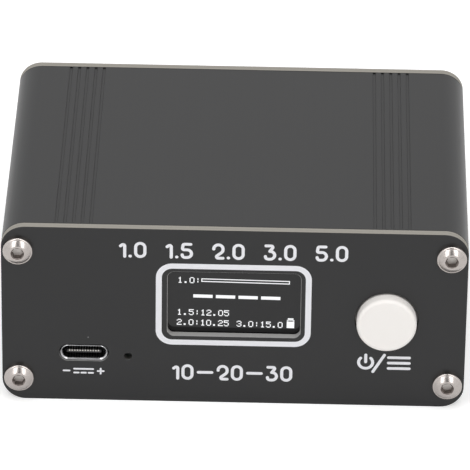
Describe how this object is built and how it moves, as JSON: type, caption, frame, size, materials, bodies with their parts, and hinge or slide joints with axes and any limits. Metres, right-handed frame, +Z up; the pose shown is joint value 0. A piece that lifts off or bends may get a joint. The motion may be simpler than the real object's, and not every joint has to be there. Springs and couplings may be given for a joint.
{
  "type": "standing wave and power meter",
  "caption": "Bench radio meter in a split aluminium case with circuit-board end panels, a small display, a push button, a charging socket and coaxial sockets at the rear.",
  "frame": {"origin": "middle of the underside of the case, halfway between the outer faces of the two end panels", "axes": "+X to the right seen from the front, +Y from the display towards the coaxial sockets, +Z up"},
  "size_m": [0.088, 0.0813, 0.038],
  "materials": {
    "case_anodised": "fine matt black anodising on extruded aluminium",
    "panel_board": "black solder mask on glass-fibre board",
    "screen_print": "white printed ink",
    "screw_steel": "polished stainless steel",
    "button_plastic": "moulded white ABS",
    "display_glass": "dark display glass",
    "display_light": "lit display dots",
    "inner_board": "green solder mask on glass-fibre board",
    "black_plastic": "moulded black plastic",
    "white_plastic": "white fluoropolymer or nylon",
    "tinned_steel": "bright stamped steel",
    "lamp_lens": "clear resin",
    "nickel": "nickel plating on turned brass",
    "gilt_contact": "gilt contact metal",
    "copper": "bare copper",
    "enamelled_wire": "enamelled copper wire",
    "ferrite": "unpolished ferrite",
    "battery_foil": "laminated foil pouch",
    "foam": "adhesive foam",
    "red_lead": "red wire insulation",
    "black_lead": "black wire insulation"
  },
  "bodies": {
    "case": {"case_bottom": "case_anodised", "case_top": "case_anodised", "front_panel": "panel_board", "rear_panel": "panel_board", "screw_front_top_left": "screw_steel", "screw_front_top_right": "screw_steel", "screw_front_bottom_left": "screw_steel", "screw_front_bottom_right": "screw_steel", "screw_rear_top_left": "screw_steel", "screw_rear_top_right": "screw_steel", "screw_rear_bottom_left": "screw_steel", "screw_rear_bottom_right": "screw_steel", "oled_glass": "display_glass", "oled_board": "inner_board", "oled_header": "black_plastic", "main_board": "inner_board", "display_board": "inner_board", "board_link": "black_plastic", "switch_cover": "tinned_steel", "switch_base": "black_plastic", "snap_dome": "tinned_steel", "usb_shell": "tinned_steel", "usb_tongue": "black_plastic", "charge_led": "lamp_lens", "controller_chip": "black_plastic", "charger_chip": "black_plastic", "detector_diode_forward": "black_plastic", "detector_diode_reflected": "black_plastic", "socket_shell_aerial": "nickel", "socket_insulator_aerial": "white_plastic", "socket_contact_aerial": "gilt_contact", "socket_washer_aerial": "nickel", "socket_nut_aerial": "nickel", "socket_shell_radio": "nickel", "socket_insulator_radio": "white_plastic", "socket_contact_radio": "gilt_contact", "socket_washer_radio": "nickel", "socket_nut_radio": "nickel", "line_conductor": "copper", "line_sleeve": "white_plastic", "sense_conductor": "copper", "current_core": "ferrite", "current_winding": "enamelled_wire", "voltage_core": "ferrite", "voltage_winding": "enamelled_wire", "battery_pad": "foam", "battery_cell": "battery_foil", "battery_header": "white_plastic", "battery_plug": "white_plastic", "battery_lead_plus": "red_lead", "battery_lead_minus": "black_lead"},
    "button": {"button_cap": "button_plastic", "switch_stem": "black_plastic"}
  },
  "joints": [
    {"name": "button_press", "type": "slide", "parent": "case", "child": "button", "axis": [0, 1, 0], "range_m": [0, 0.0003], "stiffness_N_per_m": 6000, "deforming": ["snap_dome"]}
  ]
}
